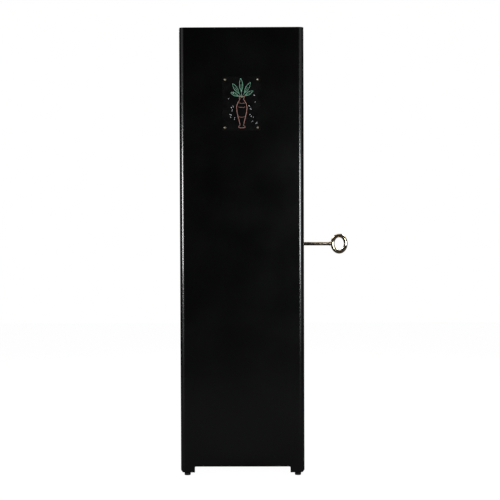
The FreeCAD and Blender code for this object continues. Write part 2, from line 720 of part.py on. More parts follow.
def front_plate():
    half = PLATE_WIDTH / 2
    plate = box(-half, half, FRONT_PLATE_Y, GAP_Y0, PLATE_Z0, PLATE_Z1)
    places = [
        (0, BARREL_Z, BARREL_ARBOR_R), (0, DIAL_Z, ARBOR_R), (THIRD_X, THIRD_Z, PIVOT_R),
        (0, ESCAPE_Z, PIVOT_R), (0, ANCHOR_Z, PIVOT_R),
    ]
    studs = [rod_y(x, z, PILLAR_R / 2, FRONT_PLATE_Y - 1, GAP_Y0 + 1) for x, z in pillar_places()]
    stud = rod_y(STUD_X, DIAL_Z, PIVOT_R, FRONT_PLATE_Y - 1, GAP_Y0 + 1)
    return without(plate, stud, *studs, *pivot_holes(FRONT_PLATE_Y - 1, GAP_Y0 + 1, places))


def back_plate():
    half = PLATE_WIDTH / 2
    plate = box(-half, half, GAP_Y1, BACK_PLATE_REAR, PLATE_Z0, PLATE_Z1)
    places = [
        (0, BARREL_Z, BARREL_ARBOR_R), (0, DIAL_Z, PIVOT_R), (THIRD_X, THIRD_Z, PIVOT_R),
        (0, ESCAPE_Z, PIVOT_R), (0, ANCHOR_Z, ARBOR_R * 2.5),
    ]
    studs = [rod_y(x, z, PILLAR_R / 2, GAP_Y1 - 1, BACK_PLATE_REAR + 1) for x, z in pillar_places()]
    screws = movement_screws()
    return without(plate, *studs, *pivot_holes(GAP_Y1 - 1, BACK_PLATE_REAR + 1, places), *screws)


def plate_pillars():
    pillars = []
    for x, z in pillar_places():
        body = rod_y(x, z, PILLAR_R, GAP_Y0, GAP_Y1)
        swell = rod_y(x, z, PILLAR_R + 2, GAP_Y0 + 10, GAP_Y0 + 14)
        swell = swell.fuse(rod_y(x, z, PILLAR_R + 2, GAP_Y1 - 14, GAP_Y1 - 10))
        stud = rod_y(x, z, PILLAR_R / 2, FRONT_PLATE_Y - 5, BACK_PLATE_REAR + 5)
        pillars.append(without(joined(body, swell, stud), *seat_bolts()))
    return Part.makeCompound(pillars)


def plate_nuts():
    nuts = []
    for x, z in pillar_places():
        for y in (FRONT_PLATE_Y - 3.5, BACK_PLATE_REAR):
            corners = []
            for count in range(7):
                angle = count * TURN / 6
                corners.append(V(x + 5.5 * math.cos(angle), y, z + 5.5 * math.sin(angle)))
            nut = Part.Face(Part.makePolygon(corners)).extrude(V(0, 3.5, 0))
            nuts.append(nut.cut(rod_y(x, z, PILLAR_R / 2, y - 1, y + 5)))
    return Part.makeCompound(nuts)


def motion_stud():
    """The fixed stud in the front plate that the minute wheel turns on."""
    stud = rod_y(STUD_X, DIAL_Z, PIVOT_R, FRONT_PLATE_Y - 10, GAP_Y0)
    return joined(stud, rod_y(STUD_X, DIAL_Z, 3.0, FRONT_PLATE_Y - 1, FRONT_PLATE_Y))


def movement_screws():
    screws = []
    for x in (-22.0, 22.0):
        shank = rod_y(x, ANCHOR_Z + 6, 2.0, GAP_Y1 + 1, COCK_Y1)
        head = rod_y(x, ANCHOR_Z + 6, 3.5, COCK_Y1, COCK_Y1 + 2.5)
        slot = box(x - 4, x + 4, COCK_Y1 + 1.5, COCK_Y1 + 3, ANCHOR_Z + 5.5, ANCHOR_Z + 6.5)
        screws.append(joined(shank, head).cut(slot))
    return screws


def back_cock():
    """The bridge behind the back plate: it holds the anchor's rear pivot and the pendulum."""
    bridge = box(-27, 27, COCK_Y0, COCK_Y1, ANCHOR_Z - 12, ANCHOR_Z + 16)
    feet = [box(x - 5, x + 5, BACK_PLATE_REAR, COCK_Y0, ANCHOR_Z - 4, ANCHOR_Z + 16)
            for x in (-22, 22)]
    tail = box(-7, 7, COCK_Y0, PENDULUM_Y + 9, ANCHOR_Z + PLAY, ANCHOR_Z + 16)
    pivot = rod_y(0, ANCHOR_Z, PIVOT_R + FIT, COCK_Y0 - 1, COCK_Y1 + 1)
    relief = rod_y(0, ANCHOR_Z, PIVOT_R + 3, COCK_Y1, PENDULUM_Y - 8)
    return without(joined(bridge, *feet, tail), pivot, relief, *movement_screws())


def dial_plate():
    plate = rod_y(0, DIAL_Z, DIAL_PLATE_R, DIAL_FACE, DIAL_REAR)
    feet = []
    for x in (-PLATE_WIDTH / 2 + 5, PLATE_WIDTH / 2 - 5):
        for z in (DIAL_Z - 45, DIAL_Z + 45):
            feet.append(rod_y(x, z, 3.0, DIAL_FACE, FRONT_PLATE_Y))
    holes = [rod_y(0, DIAL_Z, 6.5, DIAL_FACE - 1, DIAL_REAR + 1),
             rod_y(0, ESCAPE_Z, 3.0, DIAL_FACE - 1, DIAL_REAR + 1),
             rod_y(0, BARREL_Z, 8.0, DIAL_FACE - 1, DIAL_REAR + 1)]
    return without(joined(plate, *feet), *holes)


def chapter_ring():
    """The hour circle with twelve raised batons, and the small seconds circle."""
    y0 = DIAL_FACE - CHAPTER_T
    hours = ring_y(0, DIAL_Z, CHAPTER_OUTER_R, CHAPTER_INNER_R, y0, DIAL_FACE)
    for count in range(12):
        long_mark = count % 3 == 0
        inner = CHAPTER_INNER_R + (4 if long_mark else 12)
        half = 3.5 if long_mark else 2.2
        baton = box(-half, half, y0 - 1, y0, inner, CHAPTER_OUTER_R - 10)
        baton.rotate(V(0, 0, 0), ALONG_Y, count * 30)
        baton.translate(V(0, 0, DIAL_Z))
        hours = hours.fuse(baton)
    seconds = ring_y(0, ESCAPE_Z, SECONDS_OUTER_R, SECONDS_INNER_R, y0, DIAL_FACE)
    return Part.makeCompound([hours.removeSplitter(), seconds])


# ---- going train ----
BARREL_PHASE = 0.0
CENTRE_PINION_PHASE = meshing_phase(GREAT_TEETH, BARREL_PHASE, TURN / 4, CENTRE_PINION)
CENTRE_PHASE = 0.0
TO_THIRD = math.atan2(THIRD_RISE, THIRD_X)
THIRD_PINION_PHASE = meshing_phase(CENTRE_TEETH, CENTRE_PHASE, TO_THIRD, THIRD_PINION)
TO_ESCAPE = math.atan2(ESCAPE_Z - THIRD_Z, -THIRD_X)
ESCAPE_PINION_PHASE = meshing_phase(THIRD_TEETH, 0.0, TO_ESCAPE, ESCAPE_PINION)
CENTRE_Y0 = GAP_Y0 + 2.5
THIRD_Y0 = GAP_Y0 + 22.0
GREAT_Y0 = BARREL_Y1 + 1.0
ESCAPE_Y0 = GAP_Y0 + 38.0
RATCHET_R = 22.0


def barrel():
    """The line drum on its arbor, with the ratchet behind it and the winding square in front."""
    drum = rod_y(0, BARREL_Z, BARREL_R, BARREL_Y0, BARREL_Y1 - 3)
    flange = rod_y(0, BARREL_Z, BARREL_FLANGE_R, BARREL_Y0, BARREL_Y0 + 2)
    rear = rod_y(0, BARREL_Z, BARREL_FLANGE_R, BARREL_Y1 - 5, BARREL_Y1 - 3)
    ratchet = []
    for count in range(24):
        angle = count * TURN / 24
        later = angle + TURN / 24
        ratchet.append(V(RATCHET_R * math.cos(angle), 0, RATCHET_R * math.sin(angle)))
        ratchet.append(V((RATCHET_R - 3) * math.cos(later), 0, (RATCHET_R - 3) * math.sin(later)))
    toothed_disc = Part.Face(Part.makePolygon(ratchet + [ratchet[0]])).extrude(V(0, 3, 0))
    toothed_disc.translate(V(0, BARREL_Y1 - 3, BARREL_Z))
    arbor = rod_y(0, BARREL_Z, BARREL_ARBOR_R, FRONT_PLATE_Y - 2, BACK_PLATE_REAR)
    square = square_y(0, BARREL_Z, BARREL_ARBOR_R * 1.3, DIAL_FACE - 3, FRONT_PLATE_Y - 2)
    return joined(drum, flange, rear, toothed_disc, arbor, square)


def great_wheel():
    """The great wheel, free on the barrel's arbor, with the click that the ratchet rides on."""
    blank = wheel(0, BARREL_Z, GREAT_Y0, GREAT_Y0 + 3, GREAT_TEETH, GREAT_MODULE, BARREL_PHASE)
    rim_r = GREAT_MODULE * GREAT_TEETH / 2 - 8
    blank = crossed_out(blank, 0, BARREL_Z, GREAT_Y0, GREAT_Y0 + 3, RATCHET_R + 8, rim_r, 6, 7)
    blank = blank.cut(rod_y(0, BARREL_Z, BARREL_ARBOR_R + FIT, GREAT_Y0 - 1, GREAT_Y0 + 4))
    click = box(RATCHET_R + PLAY * 2, RATCHET_R + 5, GREAT_Y0 - 3.5, GREAT_Y0, BARREL_Z - 6, BARREL_Z + 9)
    return Part.makeCompound([blank, click])


def centre_arbor():
    arbor = rod_y(0, DIAL_Z, PIVOT_R, CANNON_FRONT, BACK_PLATE_REAR)
    body = rod_y(0, DIAL_Z, ARBOR_R, FRONT_PLATE_Y, GAP_Y1 - PLAY)
    leaves = pinion(0, DIAL_Z, GREAT_Y0 - 2, GREAT_Y0 + 5, CENTRE_PINION, GREAT_MODULE,
                    CENTRE_PINION_PHASE)
    return joined(arbor, body, leaves)


def train_wheel(x, z, y0, teeth, module, hub_r, spokes):
    blank = wheel(x, z, y0, y0 + 2, teeth, module, 0.0)
    rim_r = module * teeth / 2 - 5
    blank = crossed_out(blank, x, z, y0, y0 + 2, hub_r, rim_r, spokes, 4.5)
    return blank.cut(rod_y(x, z, ARBOR_R, y0 - 1, y0 + 3))


def centre_wheel():
    disc = train_wheel(0, DIAL_Z, CENTRE_Y0, CENTRE_TEETH, CENTRE_MODULE, 8, 5)
    return Part.makeCompound([centre_arbor(), disc])


def third_wheel():
    arbor = rod_y(THIRD_X, THIRD_Z, PIVOT_R, FRONT_PLATE_Y, BACK_PLATE_REAR)
    body = rod_y(THIRD_X, THIRD_Z, ARBOR_R, GAP_Y0 + PLAY, GAP_Y1 - PLAY)
    leaves = pinion(THIRD_X, THIRD_Z, CENTRE_Y0 - 1.5, CENTRE_Y0 + 4, THIRD_PINION, CENTRE_MODULE,
                    THIRD_PINION_PHASE)
    disc = train_wheel(THIRD_X, THIRD_Z, THIRD_Y0, THIRD_TEETH, THIRD_MODULE, 7, 5)
    return Part.makeCompound([joined(arbor, body, leaves), disc])


def escape_wheel():
    arbor = rod_y(0, ESCAPE_Z, PIVOT_R, DIAL_FACE - 6, BACK_PLATE_REAR)
    body = rod_y(0, ESCAPE_Z, ARBOR_R, GAP_Y0 + PLAY, GAP_Y1 - PLAY)
    leaves = pinion(0, ESCAPE_Z, THIRD_Y0 - 2, THIRD_Y0 + 4, ESCAPE_PINION, THIRD_MODULE,
                    ESCAPE_PINION_PHASE)
    points = []
    step = TURN / ESCAPE_TEETH
    for count in range(ESCAPE_TEETH):
        for r, share in ((ESCAPE_R - 4, 0.0), (ESCAPE_R, 0.42), (ESCAPE_R, 0.52), (ESCAPE_R - 4, 0.55)):
            angle = (count + share) * step
            points.append(V(r * math.cos(angle), ESCAPE_Y0, ESCAPE_Z + r * math.sin(angle)))
    disc = Part.Face(Part.makePolygon(points + [points[0]])).extrude(V(0, 2, 0))
    disc = crossed_out(disc, 0, ESCAPE_Z, ESCAPE_Y0, ESCAPE_Y0 + 2, 6, ESCAPE_R - 7, 4, 3)
    disc = disc.cut(rod_y(0, ESCAPE_Z, ARBOR_R, ESCAPE_Y0 - 1, ESCAPE_Y0 + 3))
    return Part.makeCompound([joined(arbor, body, leaves), disc])


# ---- motion work and hands ----
CANNON_FRONT = DIAL_FACE - 19.0
CANNON_Y1 = FRONT_PLATE_Y - 1.2
CANNON_Y0 = CANNON_Y1 - 3.0
HOUR_Y1 = CANNON_Y0 - 1.0
HOUR_Y0 = HOUR_Y1 - 2.5
CANNON_PIPE_R = 3.5
HOUR_PIPE_R = 5.2
HOUR_PIPE_FRONT = DIAL_FACE - 10.5
TO_STUD = math.pi
MINUTE_PHASE = meshing_phase(CANNON_TEETH, 0.0, TO_STUD, MINUTE_TEETH)
HOUR_MODULE = 2 * abs(STUD_X) / (MINUTE_PINION + HOUR_TEETH)
HOUR_PHASE = meshing_phase(MINUTE_PINION, 0.0, 0.0, HOUR_TEETH)
STORED_MINUTE = 10
STORED_HOUR = 10


def cannon_pinion():
    leaves = pinion(0, DIAL_Z, CANNON_Y0, CANNON_Y1, CANNON_TEETH, MOTION_MODULE, 0.0)
    pipe = rod_y(0, DIAL_Z, CANNON_PIPE_R, CANNON_FRONT + 2, CANNON_Y1)
    return joined(leaves, pipe).cut(rod_y(0, DIAL_Z, PIVOT_R, CANNON_FRONT, CANNON_Y1 + 1))


def minute_wheel():
    large = wheel(STUD_X, DIAL_Z, CANNON_Y0 + 0.5, CANNON_Y1 - 0.5, MINUTE_TEETH, MOTION_MODULE,
                  MINUTE_PHASE)
    small = pinion(STUD_X, DIAL_Z, HOUR_Y0 - 0.5, CANNON_Y0 + 0.5, MINUTE_PINION, HOUR_MODULE, 0.0)
    return joined(large, small).cut(rod_y(STUD_X, DIAL_Z, PIVOT_R + FIT, HOUR_Y0 - 2, CANNON_Y1 + 1))


def hour_wheel():
    large = wheel(0, DIAL_Z, HOUR_Y0, HOUR_Y1, HOUR_TEETH, HOUR_MODULE, HOUR_PHASE)
    pipe = rod_y(0, DIAL_Z, HOUR_PIPE_R, HOUR_PIPE_FRONT, HOUR_Y1)
    bore = rod_y(0, DIAL_Z, CANNON_PIPE_R + FIT, HOUR_PIPE_FRONT - 1, HOUR_Y1 + 1)
    return joined(large, pipe).cut(bore)


def hand(z, y0, length, tail, root_half, tip_half, hub_r, bore_r, clock_degrees):
    """A tapering hand with a round hub, drawn pointing up and then turned clockwise."""
    outline = [
        V(-root_half * 0.8, y0, -tail), V(root_half * 0.8, y0, -tail), V(root_half, y0, 0),
        V(tip_half, y0, length), V(-tip_half, y0, length), V(-root_half, y0, 0),
    ]
    blade = Part.Face(Part.makePolygon(outline + [outline[0]])).extrude(V(0, 1.2, 0))
    shape = joined(blade, rod_y(0, 0, hub_r, y0, y0 + 1.2)).cut(rod_y(0, 0, bore_r, y0 - 1, y0 + 3))
    shape.rotate(V(0, 0, 0), ALONG_Y, clock_degrees)
    shape.translate(V(0, 0, z))
    return shape


def hour_hand():
    angle = 30 * (STORED_HOUR + STORED_MINUTE / 60)
    return hand(DIAL_Z, HOUR_PIPE_FRONT, 118, 30, 5.5, 2.2, 11, HOUR_PIPE_R, angle)


def minute_hand():
    shape = hand(DIAL_Z, CANNON_FRONT + 2, 166, 42, 4.2, 1.2, 9, CANNON_PIPE_R, 6 * STORED_MINUTE)
    nut = ring_y(0, DIAL_Z, 5.0, PIVOT_R, CANNON_FRONT, CANNON_FRONT + 2)
    return Part.makeCompound([shape, nut])


def seconds_hand():
    return hand(ESCAPE_Z, DIAL_FACE - 5.5, 34, 12, 1.6, 0.6, 4, PIVOT_R, 0)


# ---- anchor, pendulum and weight ----
CRUTCH_DROP = 136.0


def pallet(sign):
    """A block that stays just outside the escape wheel's tooth tips through the whole swing."""
    angle = math.radians(90 - sign * 52)
    inner = ESCAPE_R + PALLET_CLEARANCE
    nib = box(inner, inner + 8, ESCAPE_Y0 - 1.5, ESCAPE_Y0 + 3.5, -2.0, 2.0)
    nib.rotate(V(0, 0, 0), ALONG_Y, -math.degrees(angle))
    nib.translate(V(0, 0, ESCAPE_Z))
    return nib


def anchor():
    """The anchor between the plates and the crutch behind them, on one arbor."""
    arbor = rod_y(0, ANCHOR_Z, PIVOT_R, FRONT_PLATE_Y, COCK_Y1)
    body = rod_y(0, ANCHOR_Z, ARBOR_R, GAP_Y0 + PLAY, COCK_Y0 - PLAY)
    outer = ESCAPE_R + PALLET_CLEARANCE + 8
    bow = ring_y(0, ESCAPE_Z, outer, outer - 4.5, ESCAPE_Y0 - 1.5, ESCAPE_Y0 + 3.5)
    reach = outer * math.sin(math.radians(56))
    upper = box(-reach, reach, ESCAPE_Y0 - 3, ESCAPE_Y0 + 5, ESCAPE_Z + outer * 0.5, ANCHOR_Z + 20)
    bow = bow.common(upper)
    hub = rod_y(0, ANCHOR_Z, 6.0, ESCAPE_Y0 - 1.5, ESCAPE_Y0 + 3.5)
    crutch_y = BACK_PLATE_REAR + 4.0
    foot_z = ANCHOR_Z - CRUTCH_DROP
    boss = rod_y(0, ANCHOR_Z, 6.0, crutch_y, crutch_y + 3)
    arm = box(-2.5, 2.5, crutch_y, crutch_y + 3, foot_z, ANCHOR_Z)
    bar = box(-2.5, 2.5, crutch_y, PENDULUM_Y - ROD_R - 3, foot_z, foot_z + 6)
    grip = ROD_R + PLAY
    fork_y = PENDULUM_Y - ROD_R - 6
    cross = box(-grip - 3, grip + 3, fork_y, fork_y + 4, foot_z, foot_z + 6)
    tines = [box(x, x + 3, fork_y, PENDULUM_Y + 5, foot_z, foot_z + 6) for x in (-grip - 3, grip)]
    return joined(arbor, body, bow, pallet(1), pallet(-1), hub, boss, arm, bar, cross, *tines)


def suspension_spring():
    strip = box(-5, 5, PENDULUM_Y - 0.15, PENDULUM_Y + 0.15, ANCHOR_Z - 24, ANCHOR_Z)
    chops = [box(-7, 7, PENDULUM_Y - 3, PENDULUM_Y - 0.15, ANCHOR_Z - 34, ANCHOR_Z - 20),
             box(-7, 7, PENDULUM_Y + 0.15, PENDULUM_Y + 3, ANCHOR_Z - 34, ANCHOR_Z - 20)]
    return Part.makeCompound([strip, *chops])


def pendulum_rod():
    bottom = BOB_Z - BOB_R - 34
    rod = rod_z(0, PENDULUM_Y, ROD_R, bottom, ANCHOR_Z - 34)
    hook = rod_z(0, PENDULUM_Y, ROD_R + 2, ANCHOR_Z - 44, ANCHOR_Z - 34)
    return joined(rod, hook)


def pendulum_bob():
    """A lens of brass: two shallow domes on a flat rim."""
    half_t = BOB_T / 2
    rim = 3.0
    rise = half_t - rim
    dome_r = (BOB_R ** 2 + rise ** 2) / (2 * rise)
    lens = rod_y(0, BOB_Z, BOB_R, PENDULUM_Y - half_t, PENDULUM_Y + half_t)
    for way in (-1, 1):
        ball = Part.makeSphere(dome_r, V(0, PENDULUM_Y + way * (half_t - dome_r), BOB_Z))
        lens = lens.common(ball)
    return lens.cut(rod_z(0, PENDULUM_Y, ROD_R, BOB_Z - BOB_R - 5, BOB_Z + BOB_R + 5))


def rating_nut():
    top = BOB_Z - BOB_R
    profile = [(ROD_R + FIT, 0), (5.5, 0), (NUT_R - 1, 6), (NUT_R, 7), (NUT_R, 12), (NUT_R - 1, 13),
               (ROD_R + FIT, 13)]
    return turned(profile, 0, PENDULUM_Y, top - 13, ALONG_Z)


def weight_line():
    left = rod_z(-LINE_X, LINE_Y, LINE_R, PULLEY_Z, BARREL_Z)
    right = rod_z(LINE_X, LINE_Y, LINE_R, PULLEY_Z, SEAT_TOP)
    loop = Part.makeTorus(LINE_X, LINE_R, V(0, LINE_Y, PULLEY_Z), ALONG_Y)
    lower = box(-LINE_X - 5, LINE_X + 5, LINE_Y - 5, LINE_Y + 5, PULLEY_Z - LINE_X - 5, PULLEY_Z)
    knot = Part.makeSphere(3.0, V(LINE_X, LINE_Y, SEAT_TOP + 3.0))
    return joined(left, loop.common(lower), right, knot)


def weight_pulley():
    half = PULLEY_T / 2
    throat = LINE_X - LINE_R - FIT
    lip = 1.2
    profile = [(2.0 + FIT, -half), (PULLEY_R, -half), (PULLEY_R, -half + lip), (throat, -1.6),
               (throat, 1.6), (PULLEY_R, half - lip), (PULLEY_R, half), (2.0 + FIT, half)]
    return turned(profile, 0, LINE_Y, PULLEY_Z, ALONG_Y)


def weight():
    """The weight on its stirrup, which carries the pulley's pin."""
    half = PULLEY_T / 2
    low = PULLEY_Z - PULLEY_R - 10
    cheeks = [box(-6, 6, LINE_Y - half - 3.5, LINE_Y - half - 0.5, low, PULLEY_Z + 8),
              box(-6, 6, LINE_Y + half + 0.5, LINE_Y + half + 3.5, low, PULLEY_Z + 8)]
    saddle = box(-6, 6, LINE_Y - half - 3.5, LINE_Y + half + 3.5, low - 3, low)
    pin = rod_y(0, PULLEY_Z, 2.0, LINE_Y - half - 4.5, LINE_Y + half + 4.5)
    neck_z = low - 3 - 16
    neck = rod_z(0, LINE_Y, 4.0, neck_z, low - 3)
    stirrup = joined(saddle, *cheeks, neck, pin)
    cap = 6.0
    profile = [(0, 0), (9, 0), (WEIGHT_R - 3, -cap + 2), (WEIGHT_R, -cap), (WEIGHT_R, cap - WEIGHT_LENGTH),
               (WEIGHT_R - 3, cap - 2 - WEIGHT_LENGTH), (9, -WEIGHT_LENGTH), (0, -WEIGHT_LENGTH)]
    body = turned(profile, 0, LINE_Y, neck_z, ALONG_Z)
    return Part.makeCompound([stirrup, body])


# ---- write every sub-part ----
def drilled_case_parts():
    case_hinge_screws = hinge_screws(CASE_FRONT - LEAF_T, ALONG_Y)
    door_hinge_screws = hinge_screws(DOOR_BACK + LEAF_T, V(0, -1, 0))
    bush_hole = rod_x(LOCK_Y, KEY_HEIGHT, BUSH_R, PANEL_OUT - 1, PANEL_IN + 1)
    dial_trim, trunk_trim = trims()
    return {
        "side_panel_right": without(side_panel(1), *case_hinge_screws),
        "side_panel_left": without(side_panel(-1), bush_hole, *lock_screws()),
        "door_panel": without(door_panel(), *door_hinge_screws, *strike_screws()),
        "hinge_leaves_case": hinge_leaves(CASE_FRONT - LEAF_T, (0, 2, 4), HINGE_PIN_R, case_hinge_screws),
        "hinge_leaves_door": hinge_leaves(DOOR_BACK, (1, 3), HINGE_PIN_R + FIT, door_hinge_screws),
        "case_screws": Part.makeCompound(case_hinge_screws + lock_screws()),
        "door_screws": Part.makeCompound(door_hinge_screws + strike_screws()),
        "dial_bezel": dial_trim,
        "trunk_trim": trunk_trim,
    }


def all_parts():
    screws = plaque_screws()
    dial_glass, trunk_glass = glasses()
    dial_ring, trunk_ring = glass_rings()
    parts = drilled_case_parts()
    parts.update({
        "back_panel": back_panel().cut(screws),
        "top_panel": top_panel(),
        "bottom_panel": bottom_panel(),
        "front_plinth": front_plinth(),
        "corner_blocks": corner_blocks(),
        "threaded_inserts": threaded_inserts(),
        "plaque": plaque().cut(screws),
        "plaque_screws": screws,
        "dial_glass": dial_glass,
        "trunk_glass": trunk_glass,
        "dial_glass_ring": dial_ring,
        "trunk_glass_bead": trunk_ring,
        "hinge_pins": hinge_pins(),
        "key_bush": key_bush(),
        "lock_case": lock_case(),
        "lock_cam": lock_cam(),
        "strike": strike(),
        "key": key(),
        "seatboard": seatboard(),
        "seatboard_cheeks": seatboard_cheeks(),
        "front_plate": front_plate(),
        "back_plate": back_plate(),
        "plate_pillars": plate_pillars(),
        "plate_nuts": plate_nuts(),
        "movement_screws": Part.makeCompound(movement_screws() + seat_bolts() + [motion_stud()]),
        "back_cock": back_cock(),
        "dial_plate": dial_plate(),
        "chapter_ring": chapter_ring(),
        "barrel": barrel(),
        "great_wheel": great_wheel(),
        "centre_wheel": centre_wheel(),
        "cannon_pinion": cannon_pinion(),
        "minute_wheel": minute_wheel(),
        "hour_wheel": hour_wheel(),
        "third_wheel": third_wheel(),
        "escape_wheel": escape_wheel(),
        "hour_hand": hour_hand(),
        "minute_hand": minute_hand(),
        "seconds_hand": seconds_hand(),
        "anchor": anchor(),
        "suspension_spring": suspension_spring(),
        "pendulum_rod": pendulum_rod(),
        "pendulum_bob": pendulum_bob(),
        "rating_nut": rating_nut(),
        "weight_line": weight_line(),
        "weight_pulley": weight_pulley(),
        "weight": weight(),
    })
    for place, (x, y) in foot_places().items():
        parts["foot_" + place] = levelling_foot(x, y)
    return parts


def main():
    os.makedirs("parts", exist_ok=True)
    for name, shape in sorted(all_parts().items()):
        shape.exportStep("parts/" + name + ".step")
        print(name, len(shape.Solids), "solids", round(shape.Volume), "mm3", shape.isValid())


main()
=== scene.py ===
"""The looks of a black long-case clock, photographed from behind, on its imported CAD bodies."""
import json
import math
import random

import bpy
from mathutils import Matrix, Vector


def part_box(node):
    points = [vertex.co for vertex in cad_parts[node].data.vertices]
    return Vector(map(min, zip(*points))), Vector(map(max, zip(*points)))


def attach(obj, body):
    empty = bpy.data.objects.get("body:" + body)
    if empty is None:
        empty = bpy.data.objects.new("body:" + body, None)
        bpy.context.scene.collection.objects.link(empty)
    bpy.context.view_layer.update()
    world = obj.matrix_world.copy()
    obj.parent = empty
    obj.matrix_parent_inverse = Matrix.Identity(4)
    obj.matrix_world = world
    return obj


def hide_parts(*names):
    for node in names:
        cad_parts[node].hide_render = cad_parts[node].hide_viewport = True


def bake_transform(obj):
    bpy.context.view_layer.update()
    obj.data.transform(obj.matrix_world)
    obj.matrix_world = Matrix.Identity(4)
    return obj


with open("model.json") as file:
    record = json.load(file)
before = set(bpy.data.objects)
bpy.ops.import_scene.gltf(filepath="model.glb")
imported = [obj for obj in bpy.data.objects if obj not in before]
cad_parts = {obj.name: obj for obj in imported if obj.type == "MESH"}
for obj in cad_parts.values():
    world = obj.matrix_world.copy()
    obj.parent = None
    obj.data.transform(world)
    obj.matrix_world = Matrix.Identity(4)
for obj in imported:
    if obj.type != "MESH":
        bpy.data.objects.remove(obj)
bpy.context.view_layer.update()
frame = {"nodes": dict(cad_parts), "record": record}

TURN = 2 * math.pi
MM = 0.001
NOISE_MIDDLE = (0.3, 0.7)   # the part of its range where most of a noise texture lies


# ---- helpers for shader nodes ----
class Shader:
    """A material with one Principled shader and short calls for the nodes that feed it."""

    def __init__(self, name, color, roughness, metallic=0.0):
        self.material = bpy.data.materials.new(name)
        self.material.use_nodes = True
        self.nodes = self.material.node_tree.nodes
        self.links = self.material.node_tree.links
        self.bsdf = self.nodes["Principled BSDF"]
        self.bsdf.inputs["Base Color"].default_value = (*color, 1.0)
        self.bsdf.inputs["Roughness"].default_value = roughness
        self.bsdf.inputs["Metallic"].default_value = metallic
        coordinates = self.nodes.new("ShaderNodeTexCoord")
        self.place = coordinates.outputs["Object"]

    def set(self, socket, value):
        self.bsdf.inputs[socket].default_value = value
        return self

    def mapped(self, scale):
        mapping = self.nodes.new("ShaderNodeMapping")
        mapping.inputs["Scale"].default_value = scale
        self.links.new(self.place, mapping.inputs["Vector"])
        return mapping.outputs["Vector"]

    def noise(self, size, detail=3.0, stretch=(1.0, 1.0, 1.0), distortion=0.0):
        """Noise whose features are about size metres across before stretching."""
        texture = self.nodes.new("ShaderNodeTexNoise")
        texture.inputs["Scale"].default_value = 1.0
        texture.inputs["Detail"].default_value = detail
        texture.inputs["Distortion"].default_value = distortion
        scale = [1.0 / (size * part) for part in stretch]
        self.links.new(self.mapped(scale), texture.inputs["Vector"])
        return texture.outputs["Fac"]

    def ramp(self, source, stops):
        """stops is a list of (position, colour)."""
        ramp = self.nodes.new("ShaderNodeValToRGB")
        elements = ramp.color_ramp.elements
        while len(elements) < len(stops):
            elements.new(0.5)
        for element, (position, color) in zip(elements, stops):
            element.position = position
            element.color = (*color, 1.0)
        self.links.new(source, ramp.inputs["Fac"])
        return ramp.outputs["Color"]

    def spread(self, source, low, high):
        """The source's middle range mapped to low..high."""
        mapped = self.nodes.new("ShaderNodeMapRange")
        mapped.inputs["From Min"].default_value = NOISE_MIDDLE[0]
        mapped.inputs["From Max"].default_value = NOISE_MIDDLE[1]
        mapped.inputs["To Min"].default_value = low
        mapped.inputs["To Max"].default_value = high
        self.links.new(source, mapped.inputs["Value"])
        return mapped.outputs["Result"]

    def color(self, source, stops):
        self.links.new(self.ramp(source, stops), self.bsdf.inputs["Base Color"])
        return self

    def roughness(self, source, low, high):
        self.links.new(self.spread(source, low, high), self.bsdf.inputs["Roughness"])
        return self

    def bump(self, source, height, strength=1.0):
        bump = self.nodes.new("ShaderNodeBump")
        bump.inputs["Distance"].default_value = height
        bump.inputs["Strength"].default_value = strength
        self.links.new(source, bump.inputs["Height"])
        self.links.new(bump.outputs["Normal"], self.bsdf.inputs["Normal"])
        return self


# ---- materials ----
def lacquer():
    """Sprayed satin black: deep, slightly cool, with faint orange peel and uneven polish."""
    shader = Shader("satin_black_lacquer", (0.0008, 0.0009, 0.0011), 0.24)
    shader.color(shader.noise(0.5, 2.0), [(0.3, (0.0006, 0.0007, 0.0009)), (0.7, (0.0010, 0.0011, 0.0014))])
    shader.roughness(shader.noise(0.22, 4.0), 0.19, 0.26)
    shader.bump(shader.noise(0.006, 2.0), 0.00003, 0.25)
    return shader.set("Coat Weight", 1.0).set("Coat Roughness", 0.14).material


def printed_panel():
    """The plaque: the same black as the case, a shade flatter."""
    shader = Shader("plaque_black", (0.0009, 0.0009, 0.0010), 0.26)
    shader.color(shader.noise(0.010, 8.0, distortion=0.6),
                 [(0.35, (0.0006, 0.0006, 0.0007)), (0.7, (0.0013, 0.0013, 0.0014))])
    shader.roughness(shader.noise(0.04), 0.22, 0.29)
    shader.bump(shader.noise(0.0012, 3.0), 0.00002, 0.2)
    return shader.set("Coat Weight", 0.8).set("Coat Roughness", 0.16).material


def stained_wood(name, dark, light, roughness, grain=(1.0, 1.0, 12.0)):
    shader = Shader(name, dark, roughness)
    rings = shader.noise(0.012, 6.0, grain, 0.8)
    shader.color(rings, [(0.32, dark), (0.68, light)])
    shader.roughness(rings, roughness - 0.06, roughness + 0.08)
    return shader.bump(shader.noise(0.0025, 4.0, grain), 0.0001, 0.35).material


def polished_brass(name, light, dark, roughness, wear=0.03):
    """Polished brass with cloudy tarnish, hairlines and a softened shine where it is handled."""
    shader = Shader(name, light, roughness, 1.0)
    shader.color(shader.noise(wear, 5.0, distortion=0.4), [(0.28, dark), (0.55, light)])
    shader.roughness(shader.noise(wear * 0.6, 6.0), roughness * 0.7, roughness * 1.6)
    return shader.bump(shader.noise(0.0016, 4.0, (1.0, 1.0, 9.0)), 0.000012, 0.35).material


def brushed_brass(name, light, dark):
    """Flat work grained in one direction, with lacquer over it."""
    shader = Shader(name, light, 0.3, 1.0)
    shader.color(shader.noise(0.02, 5.0), [(0.3, dark), (0.62, light)])
    shader.roughness(shader.noise(0.0014, 3.0, (30.0, 30.0, 1.0)), 0.2, 0.38)
    return shader.bump(shader.noise(0.0009, 2.0, (40.0, 40.0, 1.0)), 0.00002, 0.4).material


